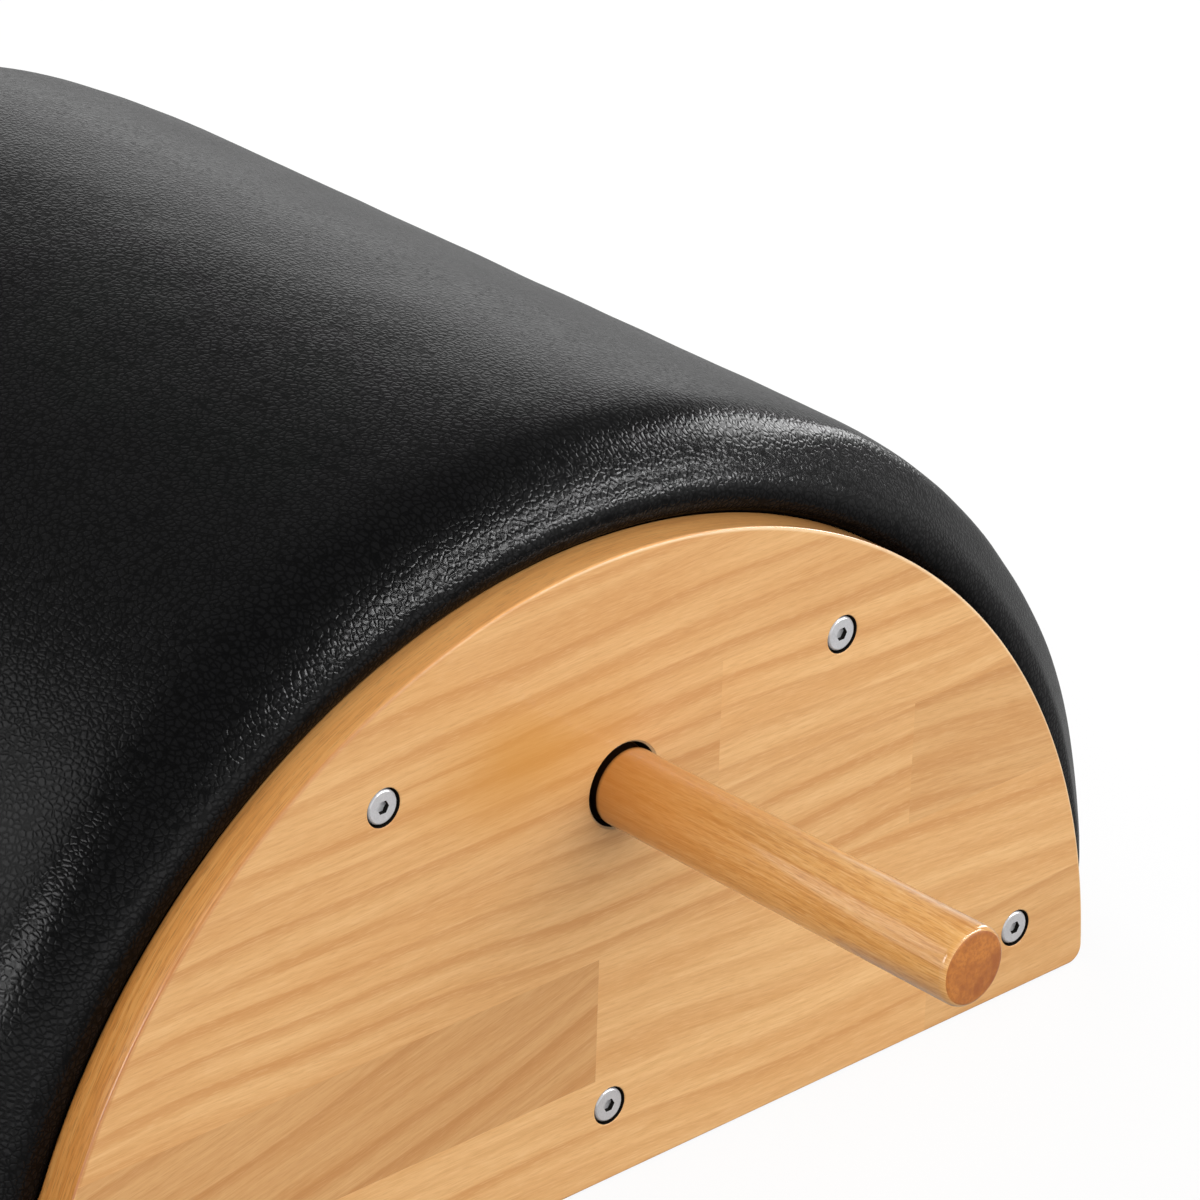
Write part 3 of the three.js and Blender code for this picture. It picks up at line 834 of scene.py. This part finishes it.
def rim_wood():
    n = material("board_edges")
    _, y, z = n.split(n.where)
    _, angle = barrel_polar(n)
    along = n.math("MULTIPLY", angle, ARCH_RADIUS)
    _, lines, fibres = wood_grain(n, along, y, 5.0)
    dark, even, pale = (0.690, 0.255, 0.049), (0.860, 0.360, 0.083), (0.930, 0.450, 0.128)
    pore, behind_top_tone = (0.480, 0.180, 0.042), (0.420, 0.130, 0.030)
    highlight_tone, top_tone = (1.000, 0.800, 0.520), (0.960, 0.560, 0.230)
    color = n.ramp(lines, (0.30, 0.48, 0.64), (dark, even, pale))
    color = n.toned(color, pore, fibres, start=0.52, full=0.66, share=0.60)
    # The arris is darker behind the arch's top, with a pale painted highlight towards the foot
    from_side = n.math("SUBTRACT", OUTER, n.math("ABSOLUTE", y))
    arris = n.fade(from_side, start=0.0013, full=0.0009, share=0.7)
    darkened = n.math("MULTIPLY", arris, n.fade(angle, start=1.75, full=2.05))
    color = n.mix(darkened, color, behind_top_tone)
    painted_highlight = n.math("MULTIPLY", arris, n.fade(angle, start=1.10, full=0.95))
    color = n.mix(painted_highlight, color, highlight_tone)
    # Paler towards the top
    color = n.toned(color, top_tone, z, start=0.16, full=0.26, share=0.28)
    return n.finish(
        Base_Color=color, Roughness=0.34, Normal=n.bump(fibres, 0.12, GRAIN_RELIEF),
        Coat_Weight=1.0, Coat_Roughness=0.09,
    )


def dowel_wood():
    n = material("turned_dowel")
    x, y, z = n.split(n.where)
    slant_z, slant_x = 0.85, 0.55
    across = n.math("ADD", n.math("MULTIPLY", z, slant_z), n.math("MULTIPLY", x, slant_x))
    _, lines, fibres = wood_grain(n, y, across, 11.0)
    dark, even, pale = (0.640, 0.270, 0.056), (0.780, 0.385, 0.108), (0.860, 0.470, 0.160)
    pore, fleck = (0.520, 0.205, 0.045), (0.950, 0.640, 0.330)
    near_hole_tone, neck_shade = (0.510, 0.190, 0.026), (0.016, 0.007, 0.003)
    color = n.ramp(lines, (0.30, 0.48, 0.64), (dark, even, pale))
    color = n.toned(color, pore, fibres, start=0.50, full=0.68, share=0.60)
    color = n.toned(color, fleck, fibres, start=0.44, full=0.30, share=0.40)
    # Darker towards the hole, and painted brown black as shade at the neck just inside it
    out = n.math("SUBTRACT", n.math("ABSOLUTE", y), OUTER)
    hidden_share = 0.35
    outside = n.fade(out, start=0.100, full=0.0, share=0.85)
    inside = n.range(out, -0.020, -0.006, hidden_share, 1.0)
    color = n.mix(n.math("MULTIPLY", outside, inside), color, near_hole_tone)
    neck = n.fade(out, start=0.0032, full=0.0, interpolation="SMOOTHSTEP")
    neck = n.math("MULTIPLY", neck, n.fade(out, start=-0.0060, full=-0.0050))
    color = n.mix(neck, color, neck_shade)
    return n.finish(
        Base_Color=color, Roughness=0.30, Normal=n.bump(fibres, 0.10, GRAIN_RELIEF),
        Coat_Weight=1.0, Coat_Roughness=0.10,
    )


# Near black, painted as shade into the handle's hole, the bolt recesses and the sockets
def painted_recess_shade():
    return material("painted_recess_shade").finish(
        Base_Color=(0.006, 0.005, 0.004), Roughness=0.7, Specular_IOR_Level=0.2
    )


def end_grain():
    n = material("dowel_end_grain")
    spots_per_metre, patches_per_metre, place = 700, 130, n.scaled(1, 0.2, 1)
    spots = n.noise(place, spots_per_metre, 3, 0.6)
    patches = n.noise(place, patches_per_metre, 3, 0.6)
    dark, pale, pore = (0.360, 0.100, 0.015), (0.560, 0.195, 0.032), (0.340, 0.100, 0.020)
    color = n.ramp(patches, (0.34, 0.62), (dark, pale))
    color = n.toned(color, pore, spots, start=0.45, full=0.62, share=0.50)
    return n.finish(
        Base_Color=color, Roughness=0.42, Normal=n.bump(spots, 0.25, GRAIN_RELIEF),
        Coat_Weight=0.3, Coat_Roughness=0.2,
    )


def rail_wood():
    n = material("planed_rails")
    x, y, z = n.split(n.where)
    _, lines, fibres = wood_grain(n, y, n.math("ADD", x, z), 2.0)
    dark, even, pale = (0.500, 0.290, 0.130), (0.620, 0.400, 0.200), (0.680, 0.460, 0.245)
    pore = (0.430, 0.240, 0.105)
    color = n.ramp(lines, (0.30, 0.50, 0.68), (dark, even, pale))
    color = n.toned(color, pore, fibres, start=0.58, full=0.70, share=0.40)
    return n.finish(Base_Color=color, Roughness=0.6, Normal=n.bump(lines, 0.2, GRAIN_RELIEF))


def plywood():
    n = material("plywood")
    x, y, z = n.split(n.where)
    _, lines, _ = wood_grain(n, y, n.math("SUBTRACT", x, z), 8.0)
    dark, even, pale = (0.540, 0.360, 0.190), (0.660, 0.480, 0.285), (0.720, 0.550, 0.345)
    color = n.ramp(lines, (0.30, 0.50, 0.68), (dark, even, pale))
    return n.finish(Base_Color=color, Roughness=0.65, Normal=n.bump(lines, 0.2, GRAIN_RELIEF))


def steel():
    n = material("satin_steel")
    marks_per_metre, dark, pale = 1600, (0.72, 0.72, 0.74), (0.82, 0.82, 0.84)
    brushed = n.noise(n.where, marks_per_metre, 2)
    return n.finish(
        Base_Color=n.ramp(brushed, (0.3, 0.7), (dark, pale)),
        Metallic=0.55,
        Roughness=n.range(brushed, 0.3, 0.7, 0.28, 0.36),
        Normal=n.bump(brushed, 0.05, 0.0001),
    )


LEATHER, BOARDS, RIM, DOWEL = leather(), board_wood(), rim_wood(), dowel_wood()
END_GRAIN, RAILS, PLYWOOD, STEEL = end_grain(), rail_wood(), plywood(), steel()
RECESS_SHADE = painted_recess_shade()


def paint(obj, *materials):
    obj.data.materials.clear()
    for finish in materials:
        obj.data.materials.append(finish)


# The CAD nodes that stay

KEPT = {
    "rail": RAILS, "block": RAILS, "rib": PLYWOOD, "cleat": PLYWOOD, "deck": PLYWOOD, "nut": STEEL,
}
for name, node in nodes.items():
    for word, finish in KEPT.items():
        if word in name.split("_"):
            for slot in node.material_slots:
                slot.material = finish

# Side panels

RAIL_NAMES = [name[: -len("_rail")] for name in nodes if name.endswith("_rail")]
rail_places = {name: box_centre(f"{name}_bolt_left") for name in RAIL_NAMES}

outline_points = 100
panel_left = make_panel(rail_places.values())
# The walls of the handle's hole and of the bolt recesses are painted near black, as shade
paint(panel_left, BOARDS, RIM, RECESS_SHADE)
for polygon in panel_left.data.polygons:
    x, _, z = polygon.center
    in_hole = math.hypot(x - HANDLE[0], z - HANDLE[1]) < HOLE_RADIUS + NEAR
    in_recess = any(
        math.hypot(x - u, z - w) < RECESS_RADIUS + NEAR for u, w in rail_places.values()
    )
    # A face with the whole outline isn't in a hole, wherever its centre lies
    if (in_hole or in_recess) and len(polygon.vertices) < outline_points:
        polygon.material_index = 2
    else:
        polygon.material_index = 0 if abs(polygon.normal.y) > FLAT_SIDE else 1
for side, panel in (("left", panel_left), ("right", mirrored(panel_left, "panel_right"))):
    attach(panel, "frame")
    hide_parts(f"side_panel_{side}")

# Handles

tip = OUTER + HANDLE_REACH
butt = INNER - GAP - HANDLE_ENGAGEMENT
shoulder = quarter(HANDLE_RADIUS, NECK_TO, SHOULDER_ROUNDING, -1, SHOULDER_STEPS)
grip_start = NECK_TO + SHOULDER_TO_GRIP
handle_left = lathe(
    "grip_left",
    [
        (0, butt),
        *reversed(quarter(HANDLE_RADIUS, butt, HANDLE_ROUNDING, -1)),
        (HANDLE_RADIUS, NECK_FROM - NECK_TAPER), (NECK_RADIUS, NECK_FROM),
        (NECK_RADIUS, NECK_TO - NECK_SLOPE), *reversed(shoulder),
        *[(HANDLE_RADIUS, y) for y in np.linspace(grip_start, tip, GRIP_RINGS)[:-1]],
        *quarter(HANDLE_RADIUS, tip, HANDLE_ROUNDING, 1),
        (0, tip),
    ],
    DOWEL_STEPS, *HANDLE,
)
smooth(handle_left)
paint(handle_left, DOWEL, END_GRAIN)
for polygon in handle_left.data.polygons:
    at_end = abs(polygon.normal.y) > FLAT_END and polygon.center.y > tip - HANDLE_ROUNDING
    polygon.material_index = 1 if at_end else 0
for side, grip in (("left", handle_left), ("right", mirrored(handle_left, "grip_right"))):
    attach(grip, f"handle_{side}")
    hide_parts(f"handle_{side}")

# Bolts

head_top = OUTER - HEAD_SUNK
head_under = head_top - HEAD_HEIGHT
tip_end = head_under - BOLT_LENGTH
master = lathe(
    "master_bolt",
    [
        (0, tip_end), (BOLT_RADIUS - BOLT_TIP, tip_end),
        (BOLT_RADIUS, tip_end + BOLT_TIP), (BOLT_RADIUS, head_under),
        (HEAD_RADIUS - HEAD_EASE, head_under), (HEAD_RADIUS, head_under + HEAD_EASE),
        (HEAD_RADIUS, head_top - HEAD_CHAMFER), (HEAD_RADIUS - HEAD_BEVEL, head_top - HEAD_BEVEL),
        (HEAD_RADIUS - HEAD_CHAMFER, head_top), (0, head_top),
    ],
    HEAD_STEPS,
)
over_top = head_top + SOCKET_OVERRUN
socket_floor = head_top - SOCKET_DEPTH
socket = lathe(
    "tool",
    [
        (0, socket_floor), (SOCKET_RADIUS, socket_floor), (SOCKET_RADIUS, over_top), (0, over_top),
    ],
    HEXAGON,
)
lead_in = lathe(
    "tool",
    [
        (0, head_top - LEAD_IN_DEPTH), (LEAD_IN_RADIUS + SOCKET_OVERRUN, over_top), (0, over_top),
    ],
    LEAD_IN_STEPS,
)
cut(master, [socket, lead_in])
smooth(master, degrees=30, weighted=True)
# The walls of the bolt's hex socket are painted near black, as shade
paint(master, STEEL, RECESS_SHADE)
for polygon in master.data.polygons:
    x, y, z = polygon.center
    in_socket = math.hypot(x, z) < SOCKET_RADIUS + 2 * NEAR and y > socket_floor - 2 * NEAR
    polygon.material_index = int(in_socket and abs(polygon.normal.y) < WALL)
for name, (x, z) in rail_places.items():
    for side in ("left", "right"):
        if side == "left":
            bolt = master.copy()
            bolt.data = master.data.copy()
            scene.collection.objects.link(bolt)
        else:
            bolt = mirrored(master, "bolt")
        bolt.name = bolt.data.name = f"{name}_screw_{side}"
        bolt.data.transform(Matrix.Translation((x, 0, z)))
        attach(bolt, "frame")
        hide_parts(f"{name}_bolt_{side}")
bpy.data.objects.remove(master)

# Padding


def barrel_bulge(point):
    up = max(0.0, point[3])
    return FOOT_BULGE + TOP_BULGE_GAIN * up**2


def barrel_angle(point):
    return math.atan2(point[1] - ARCH[1], point[0] - ARCH[0])


def barrel_fullness(point):
    return FULLNESS * math.exp(-(((barrel_angle(point) - FULLEST) / FULL_SPREAD) ** 2))


def barrel_roundness(point):
    share = (barrel_angle(point) - ROUNDER_FROM) / (ROUNDER_TO - ROUNDER_FROM)
    share = min(1.0, max(0.0, share))
    return share * share * (3 - 2 * share)


seam = (SEAM_ROLL, SEAM_DEPTH / PAD_THICKNESS)
rolled = (END_ROLL, 1.0)
barrel = make_pad(
    "barrel_pad", BARREL, rolled, seam, barrel_bulge, barrel_fullness, barrel_roundness
)
step = make_pad(
    "step_pad", STEP, seam, rolled, lambda p: STEP_BULGE, lambda p: 0.0, lambda p: 1.0
)
for name, pad in (("barrel", barrel), ("step", step)):
    paint(pad, LEATHER)
    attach(pad, "frame")
    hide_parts(f"{name}_foam", f"{name}_cover")

# Floor, light and camera

corners = [(-FLOOR_HALF, -FLOOR_HALF), (FLOOR_HALF, -FLOOR_HALF)]
corners += [(-x, -y) for x, y in corners]
floor = mesh_object("floor", [(x, y, FLOOR_Z) for x, y in corners], [(0, 1, 2, 3)])
n = material("white_floor")
path = n.add("LightPath").outputs
white = n.add("Emission", {"Color": (1, 1, 1, 1), "Strength": 1.0})
seen = n.math("MAXIMUM", path["Is Camera Ray"], path["Is Transmission Ray"])
# Matt paper: white to the camera, with the object's shadow, and grey where it lights the object
matt = n.add("BsdfDiffuse", {"Color": n.mix(seen, FLOOR_GREY, FLOOR_WHITE)})
mirrored_share = n.math("MULTIPLY", path["Is Glossy Ray"], FLOOR_MIRRORED)
share = n.math("MAXIMUM", n.math("MULTIPLY", seen, FLOOR_SEEN), mirrored_share)
paper = n.add("MixShader", {0: share, 1: matt.outputs[0], 2: white.outputs[0]})
# From below, the floor doesn't hide the object
below = n.add("NewGeometry").outputs["Backfacing"]
clear = n.add("BsdfTransparent")
shown = n.add("MixShader", {0: below, 1: paper.outputs[0], 2: clear.outputs[0]})
n.plug(shown.outputs[0], n.tree.nodes["Material Output"].inputs["Surface"])
floor.data.materials.append(n.owner)

# The camera sees white, and the object is lit by a sky that darkens from the horizon up
n = Nodes(bpy.data.worlds.new("studio"), "Background", "Generated")
path = n.add("LightPath").outputs
toward_foot, _, up = n.split(n.where)
level = n.range(up, 0.0, SKY_UP_TO, SKY_LOW, SKY_HIGH, "SMOOTHSTEP")
side = n.range(toward_foot, SKY_SIDE_FROM, SKY_SIDE_TO, 1.0, SKY_SIDE_SHARE)
seen = n.math("MAXIMUM", path["Is Camera Ray"], path["Is Transmission Ray"])
strength = n.range(seen, 0.0, 1.0, n.math("MULTIPLY", level, side), 1.0)
scene.world = n.finish(Strength=strength, Color=(1, 1, 1, 1))


def softbox(name, start, end, target, height, power, hidden_from):
    """A soft strip light from start to end, facing the target.

    Hidden from glossy rays it only fills, and hidden from diffuse rays it only makes highlights.
    """
    start, end, target = Vector(start), Vector(end), Vector(target)
    middle = (start + end) / 2
    back = (middle - target).normalized()
    along = (end - start - back * (end - start).dot(back)).normalized()
    data = bpy.data.lights.new(name, "AREA")
    data.shape, data.energy = "RECTANGLE", power
    data.size, data.size_y = (end - start).length, height
    lamp = bpy.data.objects.new(name, data)
    scene.collection.objects.link(lamp)
    lamp.visible_glossy = hidden_from != "glossy"
    lamp.visible_diffuse = hidden_from != "diffuse"
    turn = Matrix((along, back.cross(along), back)).transposed()
    lamp.matrix_world = Matrix.Translation(middle) @ turn.to_4x4()


for name, values in SOFTBOXES.items():
    softbox(name, *values)

camera_data = bpy.data.cameras.new("camera")
camera_data.lens = CAMERA_LENS
camera_data.sensor_width = CAMERA_SENSOR
camera_data.clip_start, camera_data.clip_end = CAMERA_NEAR, CAMERA_FAR
camera = bpy.data.objects.new("camera", camera_data)
scene.collection.objects.link(camera)
camera.location = CAMERA_PLACE
camera.rotation_mode = "QUATERNION"
camera.rotation_quaternion = CAMERA_TURN
scene.camera = camera
scene.view_settings.view_transform = "Standard"
